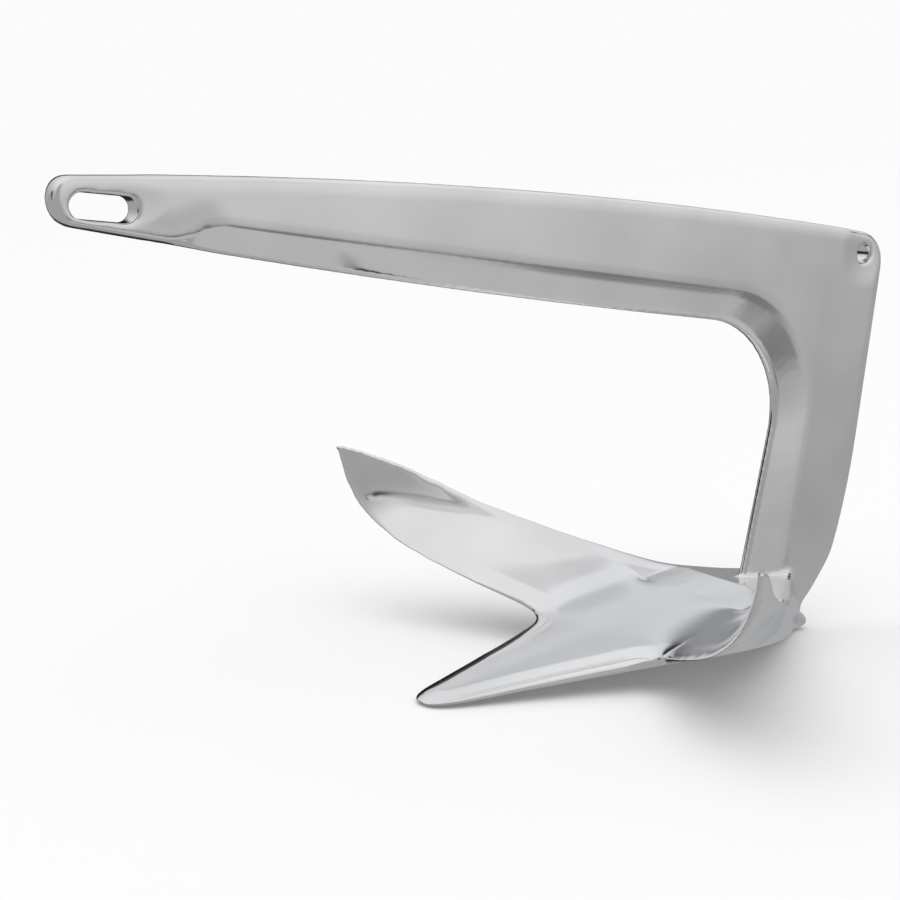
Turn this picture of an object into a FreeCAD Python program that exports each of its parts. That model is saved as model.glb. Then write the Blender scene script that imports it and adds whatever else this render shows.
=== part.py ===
import FreeCAD, Part
import math
import os
from FreeCAD import Vector

os.makedirs("parts", exist_ok=True)

# Millimetres. X runs from the eye end to the heel, Z up from the ground, Y = 0 is the middle plane.

# Shank plate
shank_thickness = 14.0
inner_edge_thickness = 5.0
plate_edge_round = 2.5
round_middle_share = 0.707

# Eye end and back of the arm
eye_corner_x = 9.0
eye_bottom_z = 240.9
eye_height = 22.0
eye_handle = 12.0
eye_handle_share = 1.333
back_pull_reach = 232.7
back_pull_drop = 3.7
rear_corner_x = 494.4
rear_corner_z = 220.6
rear_corner_radius = 17.0

# Rear edge of the leg
rear_run_end_x = 477.3
rear_run_end_z = 105.0
rear_handle = 30.0
rear_sweep_x = 459.0
rear_sweep_z = 17.0
foot_rear_x = 441.0
foot_rear_z = 11.0
foot_z = 4.0

# Inner edge of the arm and leg
foot_front_x = 387.8
inner_corner_x = 426.0
inner_corner_z = 171.9
inner_bend_radius = 54.0
arm_pull_x = 188.4
arm_pull_z = 204.5
eye_run_share = 0.105
swoop_run_share = 0.2

# Crease where the flat side turns into the bevel
crease_eye_lift = 1.5
crease_crest_x = 80.0
crease_crest_drop = 1.2
crease_swoop_handle = 14.0
crease_pull_x = 230.0
crease_pull_rise = 12.9
bevel_corner_width = 18.3
bevel_corner_rise = 14.4
crease_bend_radius = 64.0
bevel_foot_width = 27.3
bevel_reach = 60.0

# Shackle slot in the eye
slot_x = 22.3
slot_rise = 8.2
slot_length = 29.6
slot_width = 10.0
slot_tilt = 6.5

# Trip line hole
hole_inset = 17.7
hole_drop = 9.6
hole_radius = 5.25

# Rear walls of the claw, two upright planes that meet at the heel
heel_apex_x = 445.4
rear_wall_spread = 0.8391
rear_wall_rise = 0.47
rear_wall_low_z = 8.5
wing_thickness = 4.5
heel_wall_thickness = 3.0

# Underside of the claw, drawn through a front rib and a rear rib
under_front_x = 165.4
under_front_middle_z = -5.8
under_front_pull_y = 143.5
under_front_pull_z = 77.8
under_front_hold_y = 234.9
under_front_hold_z = 43.1
under_rear_x = 437.4
under_rear_middle_z = -12.5
under_rear_pull_y = 3.5
under_rear_hold_y = 3.6
under_rear_hold_z = -1.9

# Upper face of the wings, drawn through ribs a little outside those of the underside
wing_front_x = 155.4
wing_front_middle_z = -14.4
wing_front_pull_y = 170.0
wing_front_pull_z = 46.9
wing_front_hold_y = 238.0
wing_front_hold_z = 53.5
wing_rear_x = 440.0
wing_rear_middle_z = 11.5
wing_rear_pull_y = 0.9
wing_rear_pull_z = 43.6
wing_rear_hold_y = 1.4
wing_rear_hold_z = 26.5

# Upper face of the fluke and crown between the wings, slightly arched
crown_front_z = 3.7
crown_top_rear_z = 43.5
crown_reach = 250.0
crown_front_drop = 150.0
crown_rear_drop = 30.0

# Side outline of the crest, from the wing tips back to the leg
crest_front_x = 225.0
crest_front_z = 102.0
crest_tip_pull_x = 263.0
crest_tip_pull_z = 94.5
crest_middle_x = 300.0
crest_middle_z = 71.5
crest_rear_pull_x = 345.0
crest_rear_pull_z = 48.5
crest_knee_x = 384.0
crest_knee_z = 34.3
crown_rear_z = 30.0

# Plan outline of the claw
fluke_tip_x = 176.5
fluke_shoulder_x = 189.4
fluke_shoulder_y = 14.5
fluke_tip_pull_y = 9.0
fluke_side_pull_x = 265.4
fluke_side_pull_y = 36.0
notch_x = 291.4
notch_y = 49.5
notch_radius = 8.0
wing_pull_x = 268.4
wing_pull_y = 87.0
wing_lead_x = 236.6
wing_lead_hold_y = 140.0
wing_lead_y = 177.0

# Heel, stance and tool sizes
pocket_heel_z = 6.0
pocket_rise = 0.454
pocket_lean = 0.42
pocket_size = 60.0
heel_ground_z = -4.0
stance_tilt = 1.2
heel_knob_x = 441.5
heel_knob_z = 0.5
heel_knob_radius = 8.0
tool_margin = 30.0
tool_top_z = 160.0


def at(x, z, y=0.0):
    return Vector(x, y, z)


def line(start, end):
    return Part.makeLine(start, end)


def arc(start, middle, end):
    return Part.Arc(start, middle, end).toShape()


def curve(*poles):
    bezier = Part.BezierCurve()
    bezier.setPoles(list(poles))
    return bezier.toShape()


def curve_piece(poles, start, end):
    bezier = Part.BezierCurve()
    bezier.setPoles(poles)
    bezier.segment(start, end)
    return bezier


def moved(edges, offset):
    return [edge.translated(offset) for edge in edges]


def rounded_corner(before, corner, after, radius):
    back = (before - corner).normalize()
    ahead = (after - corner).normalize()
    half = back.getAngle(ahead) / 2
    reach = radius / math.tan(half)
    bisector = (back + ahead).normalize()
    middle = corner + bisector * (radius / math.sin(half) - radius)
    return corner + back * reach, middle, corner + ahead * reach


def eye_bottom(inset):
    return at(eye_corner_x, eye_bottom_z + inset)


def outer_run(eye_start, foot_front, inset=0.0):
    """Edges of the shank from the eye bottom over the back and down to the foot."""
    eye_top = at(eye_corner_x, eye_bottom_z + eye_height - inset)
    back_pull = eye_top + at(back_pull_reach, -back_pull_drop)
    rear_corner = at(rear_corner_x - inset, rear_corner_z - inset)
    rear_end = at(rear_run_end_x - inset, rear_run_end_z)
    rear_pull = rear_end + (rear_end - rear_corner).normalize() * rear_handle
    rear_sweep = at(rear_sweep_x - inset, rear_sweep_z)
    foot_rear = at(foot_rear_x - inset, foot_rear_z)
    bend = rounded_corner(back_pull, rear_corner, rear_end, rear_corner_radius - inset)
    handle = eye_handle - inset * eye_handle_share
    arm_handle = (eye_start - at(arm_pull_x, arm_pull_z)).normalize() * handle
    back_handle = (eye_top - back_pull).normalize() * handle
    return [
        curve(eye_start, eye_start + arm_handle, eye_top + back_handle, eye_top),
        curve(eye_top, back_pull, bend[0]),
        arc(*bend),
        line(bend[2], rear_end),
        curve(rear_end, rear_pull, rear_sweep, foot_rear),
        line(foot_rear, foot_front),
    ]


def arm_poles(bend_start, inset=0.0):
    return [eye_bottom(inset), at(arm_pull_x, arm_pull_z), bend_start]


def inner_bend():
    corner = at(inner_corner_x, inner_corner_z)
    return rounded_corner(at(arm_pull_x, arm_pull_z), corner, at(foot_front_x, foot_z), inner_bend_radius)


def plate_outline(inset):
    """Full side outline of the shank plate, with its outer edges moved in."""
    foot_front = at(foot_front_x, foot_z)
    bend = inner_bend()
    poles = arm_poles(bend[0], inset)
    edges = outer_run(poles[0], foot_front, inset)
    edges.append(line(foot_front, bend[2]))
    edges.append(arc(*reversed(bend)))
    edges.append(curve(*poles))
    return edges


def inner_run():
    """Thin inner edge of the shank, from the foot up and along the arm to the eye."""
    bend = inner_bend()
    poles = arm_poles(bend[0])
    return [
        line(at(foot_front_x, foot_z), bend[2]),
        arc(*reversed(bend)),
        curve_piece(poles, swoop_run_share, 1).toShape(),
        curve_piece(poles, eye_run_share, swoop_run_share).toShape(),
        curve_piece(poles, 0, eye_run_share).toShape(),
    ]


def crease_run():
    """Crease on the flat side where the bevel starts, piece by piece beside the inner run."""
    crest = at(crease_crest_x, eye_bottom_z - crease_crest_drop)
    pull = at(crease_pull_x, arm_pull_z + crease_pull_rise)
    corner = at(inner_corner_x + bevel_corner_width, inner_corner_z + bevel_corner_rise)
    foot_front = at(foot_front_x + bevel_foot_width, foot_z)
    bend = rounded_corner(pull, corner, foot_front, crease_bend_radius)
    lift = at(0, crease_eye_lift)
    eye_piece = curve_piece(arm_poles(inner_bend()[0]), 0, eye_run_share)
    eye_poles = [pole + lift for pole in eye_piece.getPoles()]
    swoop_start = eye_poles[-1]
    along_eye = (swoop_start - eye_poles[0]).normalize() * crease_swoop_handle
    along_crease = (crest - pull).normalize() * crease_swoop_handle
    return [
        line(foot_front, bend[2]),
        arc(*reversed(bend)),
        curve(crest, pull, bend[0]),
        curve(swoop_start, swoop_start + along_eye, crest + along_crease, crest),
        curve(*eye_poles),
    ]


def closed_wire(edges):
    return Part.Wire(Part.__sortEdges__(edges))


def plate_section(y, inset):
    return closed_wire(moved(plate_outline(inset), Vector(0, y, 0)))


def rounded_side(side):
    """Outer layer of the plate, which draws in towards the flat side to round its edges."""
    face_y = side * shank_thickness / 2
    start_y = face_y - side * plate_edge_round
    middle_y = start_y + side * plate_edge_round * round_middle_share
    middle_inset = plate_edge_round * (1 - round_middle_share)
    sections = [(start_y, 0.0), (middle_y, middle_inset), (face_y, plate_edge_round)]
    return Part.makeLoft([plate_section(*section) for section in sections], True, True)


def plate():
    depth = shank_thickness - plate_edge_round * 2
    core = Part.Face(plate_section(-depth / 2, 0.0)).extrude(Vector(0, depth, 0))
    return core.fuse([rounded_side(1), rounded_side(-1)]).removeSplitter()


def bevel_section(run, y):
    """Closed section of everything above and behind an inner run."""
    foot = run[0].Vertexes[0].Point
    leg_top = run[0].Vertexes[-1].Point
    eye = run[-1].Vertexes[0].Point
    eye_ahead = run[-1].tangentAt(run[-1].FirstParameter)
    far_eye = eye - eye_ahead * bevel_reach
    far_foot = foot + (foot - leg_top).normalize() * bevel_reach
    high_z = eye.z + bevel_reach
    far_x = rear_corner_x + bevel_reach
    stops = [eye, far_eye, at(far_eye.x, high_z), at(far_x, high_z), at(far_x, far_foot.z), far_foot, foot]
    sides = [line(start, stop) for start, stop in zip(stops, stops[1:])]
    return closed_wire(moved(sides + run, Vector(0, y, 0)))


def bevel_side(side):
    thin = bevel_section(inner_run(), side * inner_edge_thickness / 2)
    flat = bevel_section(crease_run(), side * shank_thickness / 2)
    return Part.makeLoft([thin, flat], True, True)


def bevel_form():
    """Everything but what the bevels along the inner edge take off."""
    middle = Part.Face(bevel_section(inner_run(), -inner_edge_thickness / 2))
    core = middle.extrude(Vector(0, inner_edge_thickness, 0))
    return core.fuse([bevel_side(1), bevel_side(-1)]).removeSplitter()


def shank():
    return plate().common(bevel_form()).removeSplitter()


def rib_end(x, inset):
    """Outer end of a rib, on the rear wall or inset from it."""
    ahead = heel_apex_x - x
    return at(x, rear_wall_low_z + rear_wall_rise * ahead, rear_wall_spread * ahead - inset)


def mirrored(point):
    return Vector(point.x, -point.y, point.z)


def rib_wire(poles, top_z):
    """Closed section above a symmetric rib curve."""
    end = poles[-1]
    high = Vector(end.x, end.y, top_z)
    stops = [end, high, mirrored(high), mirrored(end)]
    sides = [line(start, stop) for start, stop in zip(stops, stops[1:])]
    near = [mirrored(pole) for pole in reversed(poles)]
    return Part.Wire([curve(*poles)] + sides + [curve(*near)])


def above_ribs(front, rear, top_z):
    return Part.makeLoft([rib_wire(front, top_z), rib_wire(rear, top_z)], True, True)


def above_underside():
    front = [
        at(under_front_x, under_front_middle_z),
        at(under_front_x, under_front_pull_z, under_front_pull_y),
        at(under_front_x, under_front_hold_z, under_front_hold_y),
        rib_end(under_front_x, 0),
    ]
    rear = [
        at(under_rear_x, under_rear_middle_z),
        at(under_rear_x, under_rear_middle_z, under_rear_pull_y),
        at(under_rear_x, under_rear_hold_z, under_rear_hold_y),
        rib_end(under_rear_x, 0),
    ]
    return above_ribs(front, rear, tool_top_z)


def above_wings():
    front = [
        at(wing_front_x, wing_front_middle_z),
        at(wing_front_x, wing_front_pull_z, wing_front_pull_y),
        at(wing_front_x, wing_front_hold_z, wing_front_hold_y),
        rib_end(wing_front_x, wing_thickness),
    ]
    rear = [
        at(wing_rear_x, wing_rear_middle_z),
        at(wing_rear_x, wing_rear_pull_z, wing_rear_pull_y),
        at(wing_rear_x, wing_rear_hold_z, wing_rear_hold_y),
        rib_end(wing_rear_x, heel_wall_thickness),
    ]
    return above_ribs(front, rear, tool_top_z + tool_margin)


def above_crown():
    front = [
        at(wing_front_x, crown_front_z),
        at(wing_front_x, crown_front_z, crown_reach / 2),
        at(wing_front_x, crown_front_z - crown_front_drop, crown_reach),
    ]
    rear = [
        at(wing_rear_x, crown_top_rear_z),
        at(wing_rear_x, crown_top_rear_z, crown_reach / 2),
        at(wing_rear_x, crown_top_rear_z - crown_rear_drop, crown_reach),
    ]
    return above_ribs(front, rear, tool_top_z + tool_margin * 2)


def plan_half():
    """Edges of the claw outline in plan, from the fluke tip out to the rear of one wing."""
    tip = Vector(fluke_tip_x, 0, 0)
    shoulder = Vector(fluke_shoulder_x, fluke_shoulder_y, 0)
    notch = Vector(notch_x, notch_y, 0)
    wing_pull = Vector(wing_pull_x, wing_pull_y, 0)
    side_pull = Vector(fluke_side_pull_x, fluke_side_pull_y, 0)
    bend = rounded_corner(side_pull, notch, wing_pull, notch_radius)
    wing_lead = Vector(wing_lead_x, wing_lead_y, 0)
    outer_lead = Vector(wing_lead_x, tool_top_z + tool_margin, 0)
    outer_rear = Vector(heel_apex_x + tool_margin, outer_lead.y, 0)
    rear = Vector(outer_rear.x, 0, 0)
    return [
        curve(tip, Vector(fluke_tip_x, fluke_tip_pull_y, 0), shoulder),
        curve(shoulder, side_pull, bend[0]),
        arc(*bend),
        curve(bend[2], wing_pull, Vector(wing_lead_x, wing_lead_hold_y, 0), wing_lead),
        line(wing_lead, outer_lead),
        line(outer_lead, outer_rear),
        line(outer_rear, rear),
    ]


def plan_prism():
    half = plan_half()
    other = [edge.mirror(Vector(0, 0, 0), Vector(0, 1, 0)) for edge in half]
    outline = Part.Face(closed_wire(half + other))
    outline.translate(Vector(0, 0, -tool_margin))
    return outline.extrude(Vector(0, 0, tool_top_z + tool_margin * 3))


def crest_prism():
    """Everything below the crest line, seen from the side."""
    start = at(crest_front_x, crest_front_z)
    middle = at(crest_middle_x, crest_middle_z)
    knee = at(crest_knee_x, crest_knee_z)
    stops = [
        knee,
        at(heel_apex_x + tool_margin, crown_rear_z),
        at(heel_apex_x + tool_margin, -tool_margin),
        at(0, -tool_margin),
        at(0, crest_front_z),
        start,
    ]
    edges = [line(first, second) for first, second in zip(stops, stops[1:])]
    edges.append(curve(start, at(crest_tip_pull_x, crest_tip_pull_z), middle))
    edges.append(curve(middle, at(crest_rear_pull_x, crest_rear_pull_z), knee))
    outline = Part.Face(closed_wire(edges))
    outline.translate(Vector(0, -crown_reach, 0))
    return outline.extrude(Vector(0, crown_reach * 2, 0))


def rear_pocket(side):
    """What the sloping rear face takes off one side of the crown, down to the crest line."""
    heel = at(heel_apex_x, pocket_heel_z)
    along = at(-1, pocket_rise, side * rear_wall_spread)
    lean = at(-pocket_lean, 1)
    front = heel + along * (heel_apex_x - crest_knee_x)
    up = lean * pocket_size
    base = [heel - along * tool_margin, front, front + up, heel - along * tool_margin + up]
    sides = [line(start, stop) for start, stop in zip(base, base[1:] + base[:1])]
    return Part.Face(Part.Wire(sides)).extrude(Vector(pocket_size, side * pocket_size, 0))


def claw():
    hollow = above_wings().common(above_crown())
    body = above_underside().cut(hollow).common(plan_prism()).common(crest_prism())
    body = body.cut(rear_pocket(1)).cut(rear_pocket(-1))
    return body.removeSplitter()


def across(x, z, radius):
    """Round bar through the shank plate."""
    return Part.makeCylinder(radius, shank_thickness * 2, at(x, z, -shank_thickness), Vector(0, 1, 0))


def slot_tool():
    reach = (slot_length - slot_width) / 2
    radius = slot_width / 2
    slot_z = eye_bottom_z + slot_rise
    rear = across(slot_x + reach, slot_z, radius)
    front = across(slot_x - reach, slot_z, radius)
    corner = at(slot_x - reach, slot_z - radius, -shank_thickness)
    middle = Part.makeBox(reach * 2, shank_thickness * 2, slot_width, corner)
    tool = middle.fuse([front, rear]).removeSplitter()
    tool.rotate(at(slot_x, slot_z), Vector(0, 1, 0), slot_tilt)
    return tool


def hole_tool():
    return across(rear_corner_x - hole_inset, rear_corner_z - hole_drop, hole_radius)


def ground_tool():
    """Everything below the sole that the claw stands on."""
    size = (rear_corner_x + tool_margin) * 2
    low = heel_ground_z - tool_margin
    block = Part.makeBox(size, size, tool_margin, Vector(-tool_margin, -size / 2, low))
    block.rotate(at(heel_apex_x, heel_ground_z), Vector(0, 1, 0), stance_tilt)
    return block


def anchor():
    knob = Part.makeSphere(heel_knob_radius, at(heel_knob_x, heel_knob_z))
    body = claw().fuse([shank(), knob])
    body = body.cut(slot_tool()).cut(hole_tool()).cut(ground_tool())
    body.rotate(at(heel_apex_x, heel_ground_z), Vector(0, 1, 0), -stance_tilt)
    return body.removeSplitter()


def store(shape, name):
    box = shape.optimalBoundingBox(False, False)
    shape.translate(Vector(-box.Center.x, -box.Center.y, -box.ZMin))
    shape.exportStep(os.path.join("parts", name + ".step"))


store(anchor(), "claw_anchor")
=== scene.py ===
import math

import bmesh
import bpy
import numpy as np
from mathutils import Matrix, Vector
from mathutils.kdtree import KDTree


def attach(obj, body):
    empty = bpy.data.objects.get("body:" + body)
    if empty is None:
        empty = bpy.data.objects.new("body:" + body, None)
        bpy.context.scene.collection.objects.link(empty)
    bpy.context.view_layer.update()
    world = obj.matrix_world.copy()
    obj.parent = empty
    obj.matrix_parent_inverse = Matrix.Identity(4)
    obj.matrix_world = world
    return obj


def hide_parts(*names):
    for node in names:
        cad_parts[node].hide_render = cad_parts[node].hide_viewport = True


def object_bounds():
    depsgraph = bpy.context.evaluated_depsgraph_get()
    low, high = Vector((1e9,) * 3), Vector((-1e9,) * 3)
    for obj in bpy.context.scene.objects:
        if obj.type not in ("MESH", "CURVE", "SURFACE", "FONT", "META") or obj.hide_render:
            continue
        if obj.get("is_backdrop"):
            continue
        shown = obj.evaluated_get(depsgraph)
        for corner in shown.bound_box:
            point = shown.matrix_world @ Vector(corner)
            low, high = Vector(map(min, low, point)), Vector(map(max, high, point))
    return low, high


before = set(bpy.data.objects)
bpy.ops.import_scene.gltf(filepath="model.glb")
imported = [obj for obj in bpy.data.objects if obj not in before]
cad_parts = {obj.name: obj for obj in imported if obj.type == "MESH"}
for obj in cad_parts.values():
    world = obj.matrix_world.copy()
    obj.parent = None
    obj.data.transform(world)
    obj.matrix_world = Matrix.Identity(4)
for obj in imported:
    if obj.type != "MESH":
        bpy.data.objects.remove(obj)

# Metres, in the frame's own axes: X from the eye end to the heel, Z up from the floor. A direction is given
# as its azimuth, from +X towards +Y, and its elevation, both in degrees.

# Camera, at the photograph's viewing angle
camera_place = Vector((-0.50624, -0.66500, 0.27388))
camera_right = Vector((0.823946, -0.566406, 0.017259))
camera_up = Vector((0.087494, 0.157251, 0.983676))
camera_lens_mm = 68.0
camera_sensor_mm = 36.0

# Floor
floor_size = 40.0
floor_grey = 0.90
floor_roughness = 0.8

# Soft light: the direction that it comes from, its spread in degrees and its strength
soft_light_from = (200.0, 68.0)
soft_light_spread = 70.0
soft_light_strength = 1.10

# Studio: the plain tone that the camera sees, and the tones above and below that the steel mirrors. They meet
# in the horizon band, given as the height of the direction looked in, from -1 straight down to 1 straight up.
camera_tone = 0.965
upper_tone = 0.92
lower_tone = 0.42
horizon_band = (-0.12, 0.80)

# Places in the studio with a tone of their own, full within the core and gone at the edge, both in degrees
# from the place's middle. A later place covers an earlier one.
front_stripe = {"elevation": -19.0, "core": 1.0, "edge": 7.0, "tone": 0.22}
studio_tones = (
    # Broad greys in front, for the flat sides and the near wing
    {"azimuth": -132.0, "elevation": 6.0, "core": 18.0, "edge": 50.0, "tone": 0.42},
    {"azimuth": -65.0, "elevation": 26.0, "core": 10.0, "edge": 44.0, "tone": 0.80},
    {"azimuth": -55.0, "elevation": -42.0, "core": 12.0, "edge": 26.0, "tone": 0.56},
    # Narrow stripes low in front, for the slight curve of the flat sides
    {"azimuth": -75.0, **front_stripe},
    {"azimuth": -62.0, **front_stripe},
    {"azimuth": -50.0, **front_stripe},
    # Dark places beside and behind, for the lines along the rims and the claw's hollows
    {"azimuth": -13.0, "elevation": 20.0, "core": 6.0, "edge": 13.0, "tone": 0.03},
    {"azimuth": 50.0, "elevation": 6.0, "core": 4.0, "edge": 20.0, "tone": 0.32},
    {"azimuth": 77.0, "elevation": 3.0, "core": 14.0, "edge": 24.0, "tone": 0.01},
    {"azimuth": 70.0, "elevation": -24.0, "core": 12.0, "edge": 26.0, "tone": 0.02},
    {"azimuth": 136.0, "elevation": 2.0, "core": 8.0, "edge": 16.0, "tone": 0.03},
    # Soft bands high behind, for the crown and the fluke
    {"azimuth": 57.0, "elevation": 35.0, "core": 2.0, "edge": 9.0, "tone": 0.66},
    {"azimuth": 38.0, "elevation": 64.0, "core": 3.0, "edge": 10.0, "tone": 0.75},
)

# Slight tint of the studio: cool towards this direction, and warm at a right angle to it and beyond
cool_side = (50.0, 10.0)
warm_tint = (1.0, 0.996, 0.994, 1.0)
cool_tint = (0.960, 0.985, 1.015, 1.0)

# Skin of the casting: its grid, and the distance within which the solid's own points are taken as one
skin_grid = 0.0011
weld_distance = 1e-5

# Edges of the solid that the skin follows: sharp rims, the folds round the plate's flat sides, and the fold
# at the top of its bevels. Facing is how squarely a face looks sideways, from 0 to 1.
rim_angle = math.radians(30.0)
side_edge_angle = math.radians(3.0)
side_facing = 0.995
bevel_facing = 0.9

# Zones of the skin: the claw ends below the plate, lower behind the wings' rear, and leaves out the foot of
# the leg. The heel lies behind and below. A blend is the distance over which a zone fades in.
plate_start_z = 0.098
crown_top_z = 0.085
claw_top_blend = 0.028
wing_rear_x = 0.080
leg_foot_x = 0.115
foot_half_width = 0.026
claw_zone_blend = 0.012
heel_front_x = 0.170
heel_top_z = 0.048
heel_blend = 0.030

# Smoothing: the share of the way to the middle of its neighbours that a point goes in one pass, and the
# passes of each blend. The hollows' blend is full from its reach off the rims, and the rims' blends up to it.
smoothing_step = 0.8
hollow_blend = {"reach": 0.009, "passes": 1000}
claw_rim_blend = {"reach": 0.0070, "passes": 64}
plate_rim_blend = {"reach": 0.0030, "passes": 5}
heel_passes = 90

# Forms that grinding and polishing leave: how far from its edges each one reaches, and how deep the skin
# sinks at the edges themselves. A negative depth raises it.
rim_swell = {"reach": 0.009, "depth": -0.0013, "upper_only": False}
rim_fall = {"reach": 0.011, "depth": 0.0024, "upper_only": True}
side_crown = {"reach": 0.015, "depth": 0.0007, "upper_only": False}
bevel_groove = {"reach": 0.0045, "depth": 0.00016, "upper_only": False}

# Polished steel: soft clouds of colour and roughness, and faint streaks along the casting
steel_light = (0.835, 0.827, 0.827, 1.0)
steel_dark = (0.750, 0.745, 0.748, 1.0)
steel_roughness = (0.045, 0.1125)
cloud_scale = 16.0
cloud_detail = 3.0
cloud_contrast = (0.36, 0.64)
polish_streak_scale = 34.0
polish_streak_detail = 1.0
polish_streak_stretch = (0.25, 1.0, 1.0)
polish_streak_strength = 0.45
polish_streak_depth = 0.0002


def write_size(name, sizes):
    low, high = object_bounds()
    sizes[name] = {"low": list(low), "high": list(high)}


# Skin

def edge_points(mesh):
    """Points along the solid's rims, the edges of its flat sides, and the top edges of its bevels."""
    solid = bmesh.new()
    solid.from_mesh(mesh)
    bmesh.ops.remove_doubles(solid, verts=solid.verts, dist=weld_distance)
    solid.normal_update()
    found = {"rim": [], "side": [], "bevel": []}
    for edge in solid.edges:
        if len(edge.link_faces) != 2:
            continue
        angle = edge.calc_face_angle_signed()
        facing = sorted(abs(face.normal.y) for face in edge.link_faces)
        kinds = []
        if angle > rim_angle:
            kinds.append("rim")
        if angle > side_edge_angle and facing[1] > side_facing:
            kinds.append("bevel" if facing[0] > bevel_facing else "side")
        start, end = (vertex.co for vertex in edge.verts)
        steps = max(1, round((end - start).length / skin_grid))
        for kind in kinds:
            found[kind].extend(start.lerp(end, step / steps) for step in range(steps + 1))
    solid.free()
    return found


def distance_to(points, places):
    """How far each place is from the nearest of the points."""
    tree = KDTree(len(points))
    for index, point in enumerate(points):
        tree.insert(point, index)
    tree.balance()
    return np.array([tree.find(place)[2] for place in places])


def mesh_rows(items, name, width, kind):
    """One value of all the points or edges of a mesh, as an array with a row for each."""
    values = np.empty(len(items) * width, dtype=kind)
    items.foreach_get(name, values)
    return values.reshape(-1, width)


def grid_skin(solid):
    """An even mesh over the casting's own solid."""
    blank = bpy.data.objects.new("blank", solid.data.copy())
    bpy.context.scene.collection.objects.link(blank)
    weld = blank.modifiers.new("weld", "WELD")
    weld.merge_threshold = weld_distance
    remesh = blank.modifiers.new("remesh", "REMESH")
    remesh.mode = "VOXEL"
    remesh.voxel_size = skin_grid
    mesh = bpy.data.meshes.new_from_object(blank.evaluated_get(bpy.context.evaluated_depsgraph_get()))
    bpy.data.objects.remove(blank)
    return mesh


def ease(value):
    """A soft step: 0 up to value 0, and 1 from value 1."""
    held = np.clip(value, 0.0, 1.0)
    return held * held * (3.0 - 2.0 * held)


def near(distance, reach):
    """1 within the reach, fading to 0 at twice the reach."""
    return ease(2.0 - distance / reach)


def skin_zones(places, rim):
    """How much each place belongs to the claw, to the claw's hollow faces and to the heel, from 0 to 1."""
    along, across, height = places[:, 0], np.abs(places[:, 1]), places[:, 2]
    rearward = ease((along - wing_rear_x) / (leg_foot_x - wing_rear_x))
    claw_top = plate_start_z + (crown_top_z - plate_start_z) * rearward
    low = ease((claw_top - height) / claw_top_blend)
    foot = ease((along - leg_foot_x) / claw_zone_blend) * ease((foot_half_width - across) / claw_zone_blend)
    clear_of_leg = ease((leg_foot_x - along) / claw_zone_blend)
    claw = low * (1.0 - foot)
    hollow = low * clear_of_leg * ease(rim / hollow_blend["reach"])
    heel = ease((along - heel_front_x) / heel_blend) * ease((heel_top_z - height) / heel_blend)
    return claw, hollow, heel


def sunk(places, normals, distance, form):
    """The skin, sunk along its own normals near some edges."""
    depth = form["depth"] * ease(1.0 - distance / form["reach"])
    if form["upper_only"]:
        depth *= ease(normals[:, 2])
    return places - depth[:, None] * normals


def smoothed(places, edges, weight, passes):
    """The skin, with each point moved towards the middle of its neighbours by its own weight."""
    count = len(places)
    edges = edges[(weight[edges] > 0.0).any(axis=1)]
    first, second = edges[:, 0], edges[:, 1]
    neighbours = np.bincount(first, minlength=count) + np.bincount(second, minlength=count)
    share = smoothing_step * weight / np.maximum(neighbours, 1)
    columns = [places[:, axis].copy() for axis in range(3)]
    for _ in range(passes):
        for column in columns:
            total = np.bincount(first, column[second], count) + np.bincount(second, column[first], count)
            column += share * (total - neighbours * column)
    return np.stack(columns, axis=1)


def polished_skin(solid):
    """The casting with rounded rims and blended inner corners, as grinding and polishing leave them."""
    found = edge_points(solid.data)
    mesh = grid_skin(solid)
    places = mesh_rows(mesh.vertices, "co", 3, np.float64)
    normals = mesh_rows(mesh.vertices, "normal", 3, np.float64)
    edges = mesh_rows(mesh.edges, "vertices", 2, np.int64)
    rim = distance_to(found["rim"], places)
    claw, hollow, heel = skin_zones(places, rim)
    places = sunk(places, normals, distance_to(found["side"], places), side_crown)
    places = sunk(places, normals, distance_to(found["bevel"], places), bevel_groove)
    places = smoothed(places, edges, hollow, hollow_blend["passes"])
    for form in (rim_fall, rim_swell):
        places = sunk(places, normals, rim + (1.0 - claw) * form["reach"], form)
    places = smoothed(places, edges, claw * near(rim, claw_rim_blend["reach"]), claw_rim_blend["passes"])
    places = smoothed(places, edges, heel, heel_passes)
    places = smoothed(places, edges, near(rim, plate_rim_blend["reach"]), plate_rim_blend["passes"])
    mesh.vertices.foreach_set("co", places.ravel())
    mesh.update()
    mesh.shade_smooth()
    return mesh


# Materials, studio and camera

def grey(tone):
    return (tone, tone, tone, 1.0)


def node_in(tree, kind, **values):
    """A shader node with some of its settings and sockets filled in."""
    node = tree.nodes.new(kind)
    for key, value in values.items():
        if key in node.inputs:
            node.inputs[key].default_value = value
        else:
            setattr(node, key, value)
    return node


def mapped(tree, value, source=(0.0, 1.0), target=(0.0, 1.0), **settings):
    """The value, mapped from the source range to the target range."""
    node = node_in(tree, "ShaderNodeMapRange", **settings)
    for name, limit in zip(("From Min", "From Max", "To Min", "To Max"), (*source, *target)):
        node.inputs[name].default_value = limit
    tree.links.new(value, node.inputs["Value"])
    return node.outputs["Result"]


def colour_sockets(sockets):
    return [socket for socket in sockets if socket.type == "RGBA"]


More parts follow.
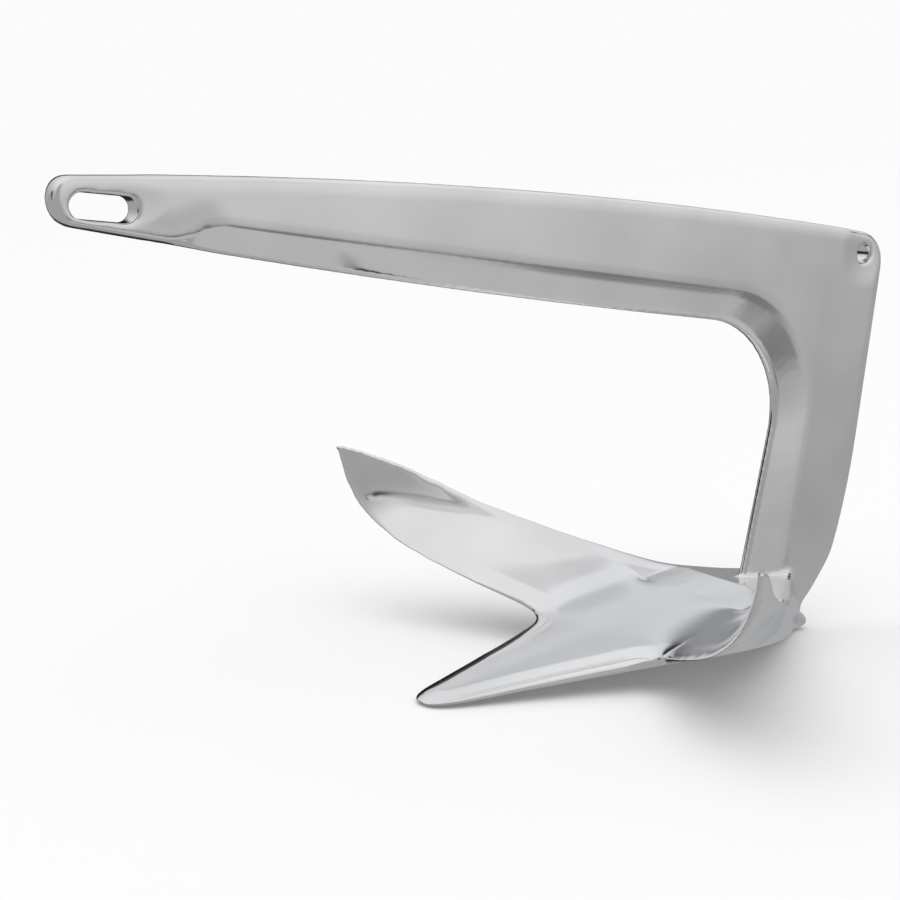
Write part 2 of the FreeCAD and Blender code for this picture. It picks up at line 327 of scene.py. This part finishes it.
def polished_steel():
    """Mirror-polished casting: soft clouds in its colour and gloss, and long faint polishing streaks."""
    material = bpy.data.materials.new("polished steel")
    material.use_nodes = True
    tree = material.node_tree
    shader = tree.nodes["Principled BSDF"]
    shader.inputs["Metallic"].default_value = 1.0
    place = node_in(tree, "ShaderNodeTexCoord")

    clouds = node_in(tree, "ShaderNodeTexNoise", Scale=cloud_scale, Detail=cloud_detail)
    tree.links.new(place.outputs["Object"], clouds.inputs["Vector"])
    cloudy = mapped(tree, clouds.outputs["Fac"], source=cloud_contrast)
    tree.links.new(mapped(tree, cloudy, target=steel_roughness), shader.inputs["Roughness"])
    colour = node_in(tree, "ShaderNodeMix", data_type="RGBA")
    tree.links.new(cloudy, colour.inputs["Factor"])
    for socket, tone in zip(colour_sockets(colour.inputs), (steel_dark, steel_light)):
        socket.default_value = tone
    tree.links.new(colour_sockets(colour.outputs)[0], shader.inputs["Base Color"])

    stretch = node_in(tree, "ShaderNodeMapping", Scale=polish_streak_stretch)
    tree.links.new(place.outputs["Object"], stretch.inputs["Vector"])
    streaks = node_in(tree, "ShaderNodeTexNoise", Scale=polish_streak_scale, Detail=polish_streak_detail)
    tree.links.new(stretch.outputs["Vector"], streaks.inputs["Vector"])
    bump = node_in(tree, "ShaderNodeBump", Strength=polish_streak_strength, Distance=polish_streak_depth)
    tree.links.new(streaks.outputs["Fac"], bump.inputs["Height"])
    tree.links.new(bump.outputs["Normal"], shader.inputs["Normal"])
    return material


def dress_anchor():
    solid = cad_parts["claw_anchor"]
    skin = bpy.data.objects.new("claw_anchor_skin", polished_skin(solid))
    bpy.context.scene.collection.objects.link(skin)
    skin.data.materials.clear()
    skin.data.materials.append(polished_steel())
    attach(skin, "root")
    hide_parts("claw_anchor")


def direction(azimuth, elevation):
    around = math.radians(azimuth)
    up = math.radians(elevation)
    return Vector((math.cos(up) * math.cos(around), math.cos(up) * math.sin(around), math.sin(up)))


def closeness(tree, looking, azimuth, elevation):
    """The cosine of the angle between the direction looked in and this one."""
    facing = node_in(tree, "ShaderNodeVectorMath", operation="DOT_PRODUCT")
    facing.inputs[1].default_value = direction(azimuth, elevation)
    tree.links.new(looking, facing.inputs[0])
    return facing.outputs["Value"]


def patch(tree, looking, tone_below, spot):
    """The tone so far, changed to the spot's own tone round the spot's direction."""
    facing = closeness(tree, looking, spot["azimuth"], spot["elevation"])
    fade = (math.cos(math.radians(spot["edge"])), math.cos(math.radians(spot["core"])))
    share = mapped(tree, facing, source=fade, interpolation_type="SMOOTHSTEP")
    blend = node_in(tree, "ShaderNodeMix", data_type="FLOAT")
    tree.links.new(share, blend.inputs["Factor"])
    tree.links.new(tone_below, blend.inputs["A"])
    blend.inputs["B"].default_value = spot["tone"]
    return blend.outputs["Result"]


def studio_world():
    """Soft tent, pale above and greyer below, with places of other tones that the steel picks up."""
    world = bpy.data.worlds.new("studio")
    bpy.context.scene.world = world
    world.use_nodes = True
    tree = world.node_tree
    looking = node_in(tree, "ShaderNodeTexCoord").outputs["Generated"]
    axes = node_in(tree, "ShaderNodeSeparateXYZ")
    tree.links.new(looking, axes.inputs["Vector"])
    tones = (lower_tone, upper_tone)
    tone = mapped(tree, axes.outputs["Z"], horizon_band, tones, interpolation_type="SMOOTHSTEP")
    for spot in studio_tones:
        tone = patch(tree, looking, tone, spot)

    tint = node_in(tree, "ShaderNodeValToRGB")
    tint.color_ramp.elements[0].color = warm_tint
    tint.color_ramp.elements[1].color = cool_tint
    tree.links.new(closeness(tree, looking, *cool_side), tint.inputs["Fac"])
    tinted = node_in(tree, "ShaderNodeVectorMath", operation="MULTIPLY")
    tree.links.new(tone, tinted.inputs[0])
    tree.links.new(tint.outputs["Color"], tinted.inputs[1])
    mirrored = tree.nodes["Background"]
    tree.links.new(tinted.outputs["Vector"], mirrored.inputs["Color"])

    plain = node_in(tree, "ShaderNodeBackground", Color=grey(camera_tone))
    rays = node_in(tree, "ShaderNodeLightPath")
    seen = node_in(tree, "ShaderNodeMixShader")
    tree.links.new(rays.outputs["Is Camera Ray"], seen.inputs[0])
    tree.links.new(mirrored.outputs["Background"], seen.inputs[1])
    tree.links.new(plain.outputs["Background"], seen.inputs[2])
    tree.links.new(seen.outputs["Shader"], tree.nodes["World Output"].inputs["Surface"])


def studio_floor():
    bpy.ops.mesh.primitive_plane_add(size=floor_size)
    floor = bpy.context.object
    floor.name = "floor"
    paper = bpy.data.materials.new("floor paper")
    paper.use_nodes = True
    shader = paper.node_tree.nodes["Principled BSDF"]
    shader.inputs["Base Color"].default_value = grey(floor_grey)
    shader.inputs["Roughness"].default_value = floor_roughness
    floor.data.materials.append(paper)
    floor.visible_glossy = False
    floor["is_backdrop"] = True


def soft_light():
    """One wide soft light that lifts the floor to near white and leaves a faint shadow."""
    light = bpy.data.lights.new("soft light", "SUN")
    light.energy = soft_light_strength
    light.angle = math.radians(soft_light_spread)
    lamp = bpy.data.objects.new("soft light", light)
    lamp.rotation_euler = (-direction(*soft_light_from)).to_track_quat("-Z", "Y").to_euler()
    lamp.visible_glossy = False
    bpy.context.scene.collection.objects.link(lamp)


def camera():
    lens = bpy.data.cameras.new("camera")
    lens.lens = camera_lens_mm
    lens.sensor_width = camera_sensor_mm
    body = bpy.data.objects.new("camera", lens)
    back = camera_right.cross(camera_up)
    turn = Matrix((camera_right, camera_up, back)).transposed()
    body.matrix_world = Matrix.Translation(camera_place) @ turn.to_4x4()
    bpy.context.scene.collection.objects.link(body)
    bpy.context.scene.camera = body
    bpy.context.scene.view_settings.view_transform = "Standard"


sizes = {}
write_size("loaded", sizes)
camera()
dress_anchor()
studio_world()
studio_floor()
soft_light()
write_size("finished", sizes)
